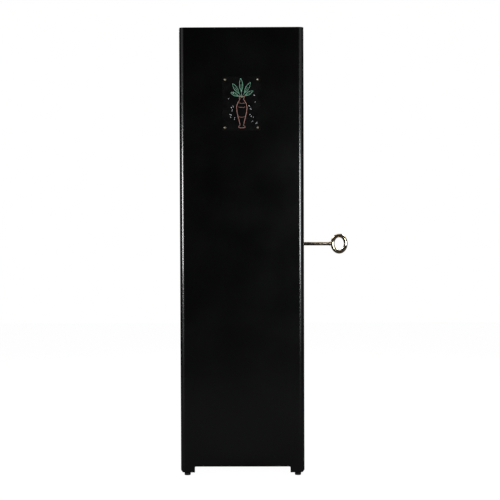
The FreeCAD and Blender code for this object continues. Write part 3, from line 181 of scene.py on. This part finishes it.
def brushed_steel(name, tint=(0.52, 0.53, 0.55)):
    shader = Shader(name, tint, 0.28, 1.0)
    dark = tuple(part * 0.72 for part in tint)
    shader.color(shader.noise(0.012, 4.0), [(0.3, dark), (0.65, tint)])
    shader.roughness(shader.noise(0.001, 3.0, (1.0, 18.0, 1.0)), 0.2, 0.36)
    return shader.bump(shader.noise(0.0008, 2.0, (1.0, 30.0, 1.0)), 0.00001, 0.4).material


def crackle_paint(name, base):
    shader = Shader(name, base, 0.5)
    lighter = tuple(part * 1.8 + 0.004 for part in base)
    shader.color(shader.noise(0.03, 4.0), [(0.35, base), (0.7, lighter)])
    shader.roughness(shader.noise(0.01, 4.0), 0.42, 0.58)
    return shader.bump(shader.noise(0.0008, 5.0), 0.00008, 0.5).material


def window_glass():
    shader = Shader("clear_glass", (0.020, 0.024, 0.025), 0.03)
    shader.set("Alpha", 0.12).set("IOR", 1.5).set("Specular IOR Level", 0.5)
    shader.roughness(shader.noise(0.05, 4.0), 0.015, 0.05)
    return shader.material


def moulded_plastic():
    shader = Shader("foot_plastic", (0.012, 0.012, 0.013), 0.45)
    shader.color(shader.noise(0.01, 4.0), [(0.35, (0.009, 0.009, 0.010)), (0.65, (0.017, 0.017, 0.018))])
    shader.roughness(shader.noise(0.004), 0.38, 0.55)
    return shader.bump(shader.noise(0.0007, 4.0), 0.00006, 0.5).material


def wire():
    shader = Shader("line_wire", (0.36, 0.34, 0.30), 0.35, 0.9)
    shader.color(shader.noise(0.004, 4.0), [(0.35, (0.22, 0.20, 0.17)), (0.65, (0.48, 0.45, 0.40))])
    return shader.roughness(shader.noise(0.002), 0.28, 0.5).material


def printed_ink(name, dark, light):
    """Chalky printed colour with the broken edge of a crayon line."""
    shader = Shader(name, light, 0.62)
    shader.color(shader.noise(0.004, 8.0, distortion=1.2), [(0.34, dark), (0.52, light), (0.72, dark)])
    shader.roughness(shader.noise(0.003), 0.5, 0.75)
    return shader.bump(shader.noise(0.0008, 4.0), 0.00005, 0.5).material


MATERIALS = {
    "lacquer": lacquer(),
    "plaque": printed_panel(),
    "inner_wood": stained_wood("inner_wood", (0.012, 0.010, 0.009), (0.032, 0.027, 0.023), 0.5,
                               (12.0, 1.0, 1.0)),
    "glazing_bead": stained_wood("bead_wood", (0.006, 0.006, 0.006), (0.014, 0.013, 0.012), 0.32),
    "glass": window_glass(),
    "brass_trim": polished_brass("trim_brass", (0.83, 0.64, 0.34), (0.60, 0.42, 0.19), 0.16),
    "key_brass": polished_brass("key_brass", (0.86, 0.74, 0.56), (0.60, 0.47, 0.30), 0.07, 0.018),
    "screw_brass": polished_brass("screw_brass", (0.97, 0.88, 0.68), (0.90, 0.78, 0.55), 0.30, 0.01),
    "movement_brass": brushed_brass("movement_brass", (0.80, 0.61, 0.30), (0.60, 0.43, 0.18)),
    "steel": brushed_steel("bright_steel"),
    "lock_iron": crackle_paint("lock_black", (0.012, 0.012, 0.014)),
    "dial_black": crackle_paint("dial_black", (0.006, 0.006, 0.007)),
    "dial_marks": polished_brass("dial_brass", (0.80, 0.64, 0.38), (0.62, 0.46, 0.24), 0.3, 0.05),
    "hands": polished_brass("hand_brass", (0.86, 0.70, 0.42), (0.66, 0.50, 0.26), 0.18, 0.02),
    "pendulum_wood": stained_wood("pendulum_wood", (0.035, 0.017, 0.009), (0.085, 0.042, 0.020), 0.3,
                                  (1.0, 1.0, 14.0)),
    "bob_brass": polished_brass("bob_brass", (0.85, 0.66, 0.35), (0.64, 0.46, 0.21), 0.12, 0.06),
    "weight_brass": polished_brass("weight_brass", (0.84, 0.64, 0.33), (0.62, 0.44, 0.20), 0.14, 0.05),
    "line": wire(),
    "foot_plastic": moulded_plastic(),
}


def finish_nodes():
    for row in frame["record"]["subparts"]:
        obj = frame["nodes"][row["node"]]
        obj.data.materials.clear()
        obj.data.materials.append(MATERIALS[row["material_slot"]])


# ---- mesh helpers ----
def mesh_object(name, vertices, faces, material, smooth=False):
    mesh = bpy.data.meshes.new(name)
    mesh.from_pydata(vertices, [], faces)
    mesh.update()
    if smooth:
        mesh.shade_smooth()
    obj = bpy.data.objects.new(name, mesh)
    bpy.context.scene.collection.objects.link(obj)
    mesh.materials.append(material)
    return obj


def tube(name, points, radius, material, sides=12, closed=False):
    """A round tube along points, which may be closed, with frames carried along without twist."""
    count = len(points)
    tangents = []
    for index in range(count):
        after = points[(index + 1) % count] if closed or index + 1 < count else points[index]
        before = points[index - 1] if closed or index > 0 else points[index]
        tangents.append((after - before).normalized())
    side = tangents[0].orthogonal().normalized()
    vertices = []
    for point, tangent in zip(points, tangents):
        side = (side - tangent * side.dot(tangent)).normalized()
        other = tangent.cross(side)
        for step in range(sides):
            angle = step * TURN / sides
            vertices.append(point + (side * math.cos(angle) + other * math.sin(angle)) * radius)
    faces = []
    for index in range(count if closed else count - 1):
        here = index * sides
        there = (index + 1) % count * sides
        for step in range(sides):
            after = (step + 1) % sides
            faces.append((here + step, here + after, there + after, there + step))
    if not closed:
        faces.append(tuple(reversed(range(sides))))
        faces.append(tuple(range((count - 1) * sides, count * sides)))
    return mesh_object(name, vertices, faces, material, smooth=True)


def centre(node):
    low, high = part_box(node)
    return (low + high) / 2


# ---- the key: a smooth oval bow, a collar and a round shaft ----
def revolved_x(name, profile, y, z, material, sides=48):
    """A smooth turned piece about the X axis, from (x, radius) stations."""
    vertices = []
    for x, radius in profile:
        for step in range(sides):
            angle = step * TURN / sides
            vertices.append(Vector((x, y + radius * math.cos(angle), z + radius * math.sin(angle))))
    faces = []
    for index in range(len(profile) - 1):
        for step in range(sides):
            after = (step + 1) % sides
            here = index * sides
            faces.append((here + step, here + sides + step, here + sides + after, here + after))
    faces.append(tuple(range(sides)))
    faces.append(tuple(reversed(range((len(profile) - 1) * sides, len(profile) * sides))))
    return mesh_object(name, vertices, faces, material, smooth=True)


BOW_LENGTH = 84.5 * MM
BOW_SHARE = 0.86            # the bow's thickness, as a share of the CAD key's
BOW_STEPS = 96
SHAFT_R = 8.75 * MM
SHAFT_CHAMFER = 0.8 * MM
NECK = [(0.0, 0.80), (0.9, 0.86)]   # shares of the bow's section along and of the shaft's radius
COLLAR = [(1, 0.0), (2, 1.6), (5, 2.0), (7, 0.6), (8, 0.0)]   # mm past the bow and over the shaft


def key_pieces():
    low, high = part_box("key")
    section = (high.y - low.y) / 2 * BOW_SHARE
    y = (low.y + high.y) / 2
    z = (low.z + high.z) / 2
    half_z = (high.z - low.z) / 2 - section
    half_x = BOW_LENGTH / 2 - section
    x = low.x + half_x + section
    points = []
    for step in range(BOW_STEPS):
        angle = step * TURN / BOW_STEPS
        points.append(Vector((x + half_x * math.cos(angle), y, z + half_z * math.sin(angle))))
    bow = tube("key_bow", points, section, MATERIALS["key_brass"], sides=32, closed=True)
    root = x + half_x
    stations = [(root + section * along, SHAFT_R * share) for along, share in NECK]
    stations += [(root + section + along * MM, SHAFT_R + rise * MM) for along, rise in COLLAR]
    stations += [(high.x - SHAFT_CHAMFER, SHAFT_R), (high.x, SHAFT_R - SHAFT_CHAMFER)]
    shaft = revolved_x("key_shaft", stations, y, z, MATERIALS["key_brass"])
    for piece in (bow, shaft):
        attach(piece, "key")
        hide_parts("key")


# ---- the plaque's ornament: a leafy sprig standing in a slim vase, drawn in line, with no text ----
INKS = {
    "leaf": printed_ink("leaf_ink", (0.10, 0.30, 0.19), (0.24, 0.55, 0.38)),
    "vase": printed_ink("vase_ink", (0.30, 0.10, 0.08), (0.60, 0.31, 0.26)),
    "chalk": printed_ink("chalk_ink", (0.40, 0.40, 0.42), (0.86, 0.86, 0.90)),
}
INK_RISE = 0.35 * MM
INK_SHOULDER = INK_RISE * 0.7
INK_EDGE = 0.02 * MM
ACROSS_STROKE = ((-1.0, INK_EDGE), (-0.5, INK_SHOULDER), (0.0, INK_RISE), (0.5, INK_SHOULDER),
                 (1.0, INK_EDGE))
LINE_WIDTH = 3.0 * MM
RIB_WIDTH = LINE_WIDTH * 0.7
BAND_WIDTH = LINE_WIDTH * 0.6
SPRIG_FOOT = (2 * MM, 28 * MM)
LEAF_START = 0.3            # how far up its length a leaf's edges part
RIB_LENGTH = 0.4
# each leaf's angle, its length and how far its edges bow, in mm
LEAVES = [(0.55, 62, 13), (1.05, 84, 15), (1.62, 92, 15), (2.15, 80, 15), (2.70, 58, 13)]
# the vase's heights and half widths in mm, from lip to foot
VASE_OUTLINE = [(36, 15), (31, 12), (22, 9), (14, 12), (2, 20), (-16, 25), (-40, 23), (-70, 16), (-94, 10),
                (-104, 8), (-109, 15), (-114, 16)]
VASE_BANDS = (4, -16, -62)
TOP_BAND_HALF = 19
LIP_DIP = 4 * MM
BAND_DIP = 6 * MM
FLECKS = 18
FLECK_ASIDE = (34, 66)      # mm
FLECK_UP = (-100, 60)       # mm
FLECK_LEAN = (0.3, 2.8)
FLECK_LENGTH = (5, 11)      # mm
FLECK_WIDTH = (2.2, 4.0)    # mm


def plaque_point(u, v, rise=INK_RISE):
    """A point on the plaque's face, u to the viewer's right and v upward from its middle."""
    low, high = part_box("plaque")
    return Vector(((low.x + high.x) / 2 - u, high.y + rise, (low.z + high.z) / 2 + v))


def stroke(name, route, widths, ink):
    """A drawn line with its own width at each point, slightly domed so that it catches the light."""
    vertices = []
    for index, (u, v) in enumerate(route):
        after = route[min(index + 1, len(route) - 1)]
        before = route[max(index - 1, 0)]
        along = Vector((after[0] - before[0], after[1] - before[1])).normalized()
        across = Vector((-along.y, along.x)) * widths[index] / 2
        for share, rise in ACROSS_STROKE:
            vertices.append(plaque_point(u + across.x * share, v + across.y * share, rise))
    lanes = len(ACROSS_STROKE)
    faces = []
    for index in range(len(route) - 1):
        for step in range(lanes - 1):
            here = index * lanes + step
            faces.append((here, here + 1, here + lanes + 1, here + lanes))
    piece = mesh_object(name, vertices, faces, INKS[ink], smooth=True)
    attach(piece, "case")


def curve_points(start, bend, end, count=14):
    points = []
    for step in range(count + 1):
        t = step / count
        u = (1 - t) ** 2 * start[0] + 2 * t * (1 - t) * bend[0] + t ** 2 * end[0]
        v = (1 - t) ** 2 * start[1] + 2 * t * (1 - t) * bend[1] + t ** 2 * end[1]
        points.append((u, v))
    return points


def line(name, route, ink, width=LINE_WIDTH):
    """An even stroke that thins a little toward both ends."""
    last = len(route) - 1
    widths = [width * (0.55 + 0.45 * math.sin(math.pi * index / last)) for index in range(last + 1)]
    stroke(name, route, widths, ink)


def outlined_leaf(name, base, angle, length, width):
    """Two edges that bow apart and meet at the tip, and a short midrib."""
    ahead = Vector((math.cos(angle), math.sin(angle)))
    aside = Vector((-ahead.y, ahead.x))
    start = Vector(base) + ahead * length * LEAF_START
    tip = Vector(base) + ahead * length
    for side in (-1, 1):
        bend = (start + tip) / 2 + aside * side * width
        line(f"{name}_edge_{(side + 1) // 2}", curve_points(start, bend, tip), "leaf")
    rib_end = start + ahead * length * RIB_LENGTH
    rib_middle = (Vector(base) + rib_end) / 2
    line(f"{name}_rib", curve_points(Vector(base), rib_middle, rib_end), "leaf", RIB_WIDTH)


def sagging_line(name, middle, v, half, dip, width):
    """A line across the vase that bows down in the middle, as a rim does seen from above."""
    route = curve_points((middle - half, v), (middle, v - dip), (middle + half, v))
    line(name, route, "vase", width)


def plaque_ornament():
    random.seed(11)
    middle = SPRIG_FOOT[0]
    for index, (angle, length, width) in enumerate(LEAVES):
        outlined_leaf(f"sprig_leaf_{index}", SPRIG_FOOT, angle, length * MM, width * MM)
    for side in (-1, 1):
        route = [(middle + side * half * MM, height * MM) for height, half in VASE_OUTLINE]
        line(f"vase_side_{(side + 1) // 2}", route, "vase")
    for part, (height, half) in (("lip", VASE_OUTLINE[0]), ("foot", VASE_OUTLINE[-1])):
        sagging_line(f"vase_{part}", middle, height * MM, half * MM, LIP_DIP, LINE_WIDTH)
    for index, height in enumerate(VASE_BANDS):
        half = (TOP_BAND_HALF - index) * MM
        sagging_line(f"vase_band_{index}", middle, height * MM, half, BAND_DIP, BAND_WIDTH)
    for index in range(FLECKS):
        side = random.choice((-1, 1))
        u = middle + side * random.uniform(*FLECK_ASIDE) * MM
        v = random.uniform(*FLECK_UP) * MM
        lean = random.uniform(*FLECK_LEAN)
        length = random.uniform(*FLECK_LENGTH) * MM
        end = (u + length * math.cos(lean), v + length * math.sin(lean))
        width = random.uniform(*FLECK_WIDTH) * MM
        line(f"chalk_fleck_{index}", curve_points((u, v), (u, v), end, count=4), "chalk", width)


# ---- dial: minute track and small seconds track ----
BLOCK_FACES = [(4, 5, 6, 7), (0, 1, 5, 4), (1, 2, 6, 5), (2, 3, 7, 6), (3, 0, 4, 7), (3, 2, 1, 0)]
HOUR_MARK_HEIGHT = 1.0 * MM        # how far the CAD's hour marks stand out of the chapter ring
BLOCK_SUNK = 0.01 * MM
MINUTE_TRACK = (7 * MM, 2 * MM)    # inward from the chapter ring's edge
MINUTE_HALF = 0.45 * MM
FIVE_MINUTE_HALF = 0.9 * MM
MINUTE_RISE = 0.3 * MM
SECONDS_ARBOR_DROP = 11 * MM       # from the middle of the seconds hand down to its arbor
SECONDS_OUTER = 38.5 * MM
SECONDS_INNER = 35 * MM
FIVE_SECONDS_INNER = 32.5 * MM
SECONDS_HALF = 0.3 * MM
SECONDS_RISE = 0.25 * MM


def dial_marks():
    low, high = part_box("chapter_ring")
    middle = centre("dial_plate")
    ring_y = low.y + HOUR_MARK_HEIGHT
    outer = (high.x - low.x) / 2
    marks = []
    faces = []

    def block(angle, inner_r, outer_r, half, centre_z, rise):
        along = Vector((math.sin(angle), 0, math.cos(angle)))
        across = Vector((math.cos(angle), 0, -math.sin(angle))) * half
        base = Vector((middle.x, 0, centre_z))
        start = len(marks)
        for y in (ring_y + BLOCK_SUNK, ring_y - rise):
            for radius, side in ((inner_r, -1), (outer_r, -1), (outer_r, 1), (inner_r, 1)):
                point = base + along * radius + across * side
                marks.append(Vector((point.x, y, point.z)))
        for corners in BLOCK_FACES:
            faces.append(tuple(start + corner for corner in corners))

    for minute in range(60):
        half = FIVE_MINUTE_HALF if minute % 5 == 0 else MINUTE_HALF
        inner_r = outer - MINUTE_TRACK[0]
        block(minute * TURN / 60, inner_r, outer - MINUTE_TRACK[1], half, middle.z, MINUTE_RISE)
    seconds_z = centre("seconds_hand").z - SECONDS_ARBOR_DROP
    for second in range(60):
        inner_r = FIVE_SECONDS_INNER if second % 5 == 0 else SECONDS_INNER
        block(second * TURN / 60, inner_r, SECONDS_OUTER, SECONDS_HALF, seconds_z, SECONDS_RISE)
    piece = mesh_object("dial_tracks", marks, faces, MATERIALS["dial_black"])
    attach(piece, "case")


# ---- the weight line: wire wound on the barrel, down round the pulley and up to the seatboard ----
LINE_R = 0.75 * MM
LINE_CENTRE_R = 25.5 * MM   # from the axis of the barrel or the pulley to the middle of the line
FALL_STEPS = 60
ARC_STEPS = 32
COIL_TURNS = 6
COIL_STEPS = 40
COIL_PITCH = 2.1 * LINE_R
COIL_R = LINE_R * 0.98


def line_route(low_z, y, top_left, top_right):
    """Down one fall, half round the pulley and up the other fall, either side of x = 0."""
    points = []
    for step in range(FALL_STEPS + 1):
        points.append(Vector((-LINE_CENTRE_R, y, top_left + (low_z - top_left) * step / FALL_STEPS)))
    for step in range(1, ARC_STEPS):
        angle = math.pi + step * math.pi / ARC_STEPS
        points.append(round_axis(angle, y, low_z))
    for step in range(FALL_STEPS + 1):
        points.append(Vector((LINE_CENTRE_R, y, low_z + (top_right - low_z) * step / FALL_STEPS)))
    return points


def round_axis(angle, y, axis_z):
    """A point of the line where it lies on the barrel or the pulley."""
    return Vector((LINE_CENTRE_R * math.cos(angle), y, axis_z + LINE_CENTRE_R * math.sin(angle)))


def weight_line():
    pulley = centre("weight_pulley")
    barrel = centre("barrel")
    seat_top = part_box("seatboard")[1].z
    route = line_route(pulley.z, pulley.y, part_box("weight_line")[1].z, seat_top)
    cable = tube("weight_cable", route, LINE_R, MATERIALS["line"], sides=10)
    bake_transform(cable)
    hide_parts("weight_line")
    coil = []
    for step in range(COIL_TURNS * COIL_STEPS):
        angle = math.pi - step * TURN / COIL_STEPS
        y = pulley.y - step / COIL_STEPS * COIL_PITCH
        coil.append(round_axis(angle, y, barrel.z))
    turns = tube("barrel_line_turns", coil, COIL_R, MATERIALS["line"], sides=8)
    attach(turns, "barrel")


# ---- camera, lights and floor ----
VIEW_WIDTH = 2393.0 * MM  # what the picture spans at the back of the case
DISTANCE = 6.0
CLIP_END = 60.0
SENSOR = 36.0
PITCH = math.radians(1.3)
ROLL = math.radians(-0.2)
ASIDE = -0.06             # the camera stands a little to the key's side of its aim
AIM_X = -38.8 * MM
AIM_Z = 1086.3 * MM


def camera():
    data = bpy.data.cameras.new("camera")
    data.sensor_width = SENSOR
    data.lens = SENSOR * DISTANCE / VIEW_WIDTH
    data.clip_end = CLIP_END
    obj = bpy.data.objects.new("camera", data)
    bpy.context.scene.collection.objects.link(obj)
    aim = Vector((AIM_X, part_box("back_panel")[1].y, AIM_Z))
    place = aim + Vector((ASIDE, DISTANCE, DISTANCE * math.tan(PITCH)))
    turn = (aim - place).to_track_quat("-Z", "Y").to_matrix().to_4x4()
    obj.matrix_world = Matrix.Translation(place) @ turn @ Matrix.Rotation(ROLL, 4, "Z")
    bpy.context.scene.camera = obj


def softbox(name, place, aim, width, height, power, tint=(1.0, 1.0, 1.0)):
    data = bpy.data.lights.new(name, "AREA")
    data.shape = "RECTANGLE"
    data.size = width
    data.size_y = height
    data.energy = power
    data.color = tint
    obj = bpy.data.objects.new(name, data)
    bpy.context.scene.collection.objects.link(obj)
    place = Vector(place)
    turn = (Vector(aim) - place).to_track_quat("-Z", "Y").to_matrix().to_4x4()
    obj.matrix_world = Matrix.Translation(place) @ turn


def lights():
    """Two strips draw the bright lines on the rounded back edges; the rest light the front and top."""
    left_edge = (0.29, 0.15, 1.3)
    right_edge = (-0.29, 0.15, 1.3)
    middle = (0, 0, 1.25)
    softbox("left_strip", (2.85, 2.66, 1.33), left_edge, 0.8, 0.95, 52)
    softbox("right_strip", (-1.85, 3.45, 1.33), right_edge, 0.8, 0.95, 42, (0.96, 0.99, 1.0))
    softbox("front_left", (-2.4, -2.8, 3.4), middle, 1.2, 1.2, 70)
    softbox("front_right", (2.4, -2.8, 3.4), middle, 1.2, 1.2, 70)
    softbox("overhead", (0, -1.8, 4.2), middle, 2.5, 2.5, 30)


# What the object mirrors from the studio walls, against the direction's Y from -1 to 1: grey
# straight ahead of its dial, dark straight ahead of its back, grey again towards its sides.
WALL_GREYS = [(0.0, 0.34), (0.05, 0.28), (0.14, 0.006), (0.56, 0.006), (0.66, 0.30), (0.92, 0.30),
              (0.975, 0.015), (1.0, 0.006)]
CEILING_Z = (0.25, 0.5)     # the directions' Z over which the walls give way to the ceiling
CEILING_SHARE = 0.12


def studio():
    """White to the camera's eye, dim and graded where the object mirrors it."""
    world = bpy.data.worlds.new("studio")
    bpy.context.scene.world = world
    world.use_nodes = True
    nodes = world.node_tree.nodes
    links = world.node_tree.links
    nodes.clear()
    output = nodes.new("ShaderNodeOutputWorld")
    mix = nodes.new("ShaderNodeMixShader")
    seen = nodes.new("ShaderNodeBackground")
    mirrored = nodes.new("ShaderNodeBackground")
    path = nodes.new("ShaderNodeLightPath")
    seen.inputs["Color"].default_value = (1, 1, 1, 1)
    direction = nodes.new("ShaderNodeTexCoord")
    parts = nodes.new("ShaderNodeSeparateXYZ")
    links.new(direction.outputs["Generated"], parts.inputs["Vector"])
    half_turn = nodes.new("ShaderNodeMapRange")
    half_turn.inputs["From Min"].default_value = -1.0
    links.new(parts.outputs["Y"], half_turn.inputs["Value"])
    walls = nodes.new("ShaderNodeValToRGB")
    elements = walls.color_ramp.elements
    while len(elements) < len(WALL_GREYS):
        elements.new(0.5)
    for element, (position, grey) in zip(elements, WALL_GREYS):
        element.position = position
        element.color = (grey, grey, grey, 1.0)
    links.new(half_turn.outputs["Result"], walls.inputs["Fac"])
    ceiling = nodes.new("ShaderNodeMapRange")
    ceiling.inputs["From Min"].default_value = CEILING_Z[0]
    ceiling.inputs["From Max"].default_value = CEILING_Z[1]
    ceiling.inputs["To Min"].default_value = 1.0
    ceiling.inputs["To Max"].default_value = CEILING_SHARE
    links.new(parts.outputs["Z"], ceiling.inputs["Value"])
    links.new(walls.outputs["Color"], mirrored.inputs["Color"])
    links.new(ceiling.outputs["Result"], mirrored.inputs["Strength"])
    links.new(path.outputs["Is Camera Ray"], mix.inputs["Fac"])
    links.new(mirrored.outputs["Background"], mix.inputs[1])
    links.new(seen.outputs["Background"], mix.inputs[2])
    links.new(mix.outputs["Shader"], output.inputs["Surface"])


FLOOR_HALF = 9.0
FLOOR_GREY = 0.08
FLOOR_SEEN = 0.985
FLOOR_MIRRORED = 0.018


def floor():
    """A floor that glows white to the camera's eye and stays dim where the object mirrors it."""
    material = bpy.data.materials.new("studio_floor")
    material.use_nodes = True
    nodes = material.node_tree.nodes
    links = material.node_tree.links
    nodes.clear()
    output = nodes.new("ShaderNodeOutputMaterial")
    add = nodes.new("ShaderNodeAddShader")
    diffuse = nodes.new("ShaderNodeBsdfDiffuse")
    diffuse.inputs["Color"].default_value = (FLOOR_GREY, FLOOR_GREY, FLOOR_GREY, 1)
    glow = nodes.new("ShaderNodeEmission")
    path = nodes.new("ShaderNodeLightPath")
    strength = nodes.new("ShaderNodeMapRange")
    strength.inputs["To Min"].default_value = FLOOR_MIRRORED
    strength.inputs["To Max"].default_value = FLOOR_SEEN
    links.new(path.outputs["Is Camera Ray"], strength.inputs["Value"])
    links.new(strength.outputs["Result"], glow.inputs["Strength"])
    links.new(diffuse.outputs["BSDF"], add.inputs[0])
    links.new(glow.outputs["Emission"], add.inputs[1])
    links.new(add.outputs["Shader"], output.inputs["Surface"])
    corners = [(x * FLOOR_HALF, y * FLOOR_HALF, 0) for x, y in ((-1, -1), (1, -1), (1, 1), (-1, 1))]
    obj = mesh_object("floor", corners, [(0, 1, 2, 3)], material)


camera()
lights()
studio()
floor()
finish_nodes()
key_pieces()
plaque_ornament()
dial_marks()
weight_line()
bpy.context.scene.view_settings.view_transform = "Standard"
